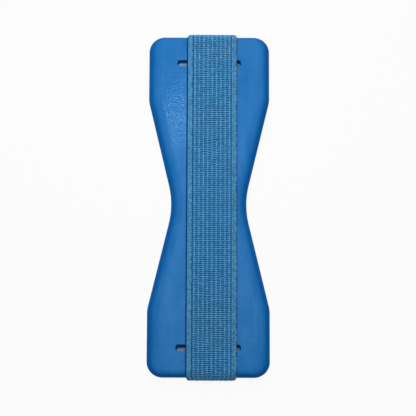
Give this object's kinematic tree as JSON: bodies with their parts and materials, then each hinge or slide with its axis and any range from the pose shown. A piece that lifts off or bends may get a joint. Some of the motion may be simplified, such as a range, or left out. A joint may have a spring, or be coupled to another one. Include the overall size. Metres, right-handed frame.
{
  "type": "tablet strap grip",
  "caption": "Flat hourglass plate with an adhesive back and a lengthwise elastic strap that a hand slips under to hold a tablet.",
  "frame": {"origin": "middle of the adhesive face, on the surface that the grip lies on or is stuck to", "axes": "+Z out of the front, towards the strap; +Y along the strap; +X across the plate"},
  "size_m": [0.0484, 0.1428, 0.0058],
  "materials": {
    "plate_plastic": "fine moulded grain, satin",
    "strap_elastic": "ribbed knitted elastic",
    "pad_foam": "closed-cell foam with a tacky adhesive face"
  },
  "bodies": {
    "root": {"base_plate": "plate_plastic", "elastic_strap": "strap_elastic", "adhesive_pad": "pad_foam"}
  },
  "joints": []
}
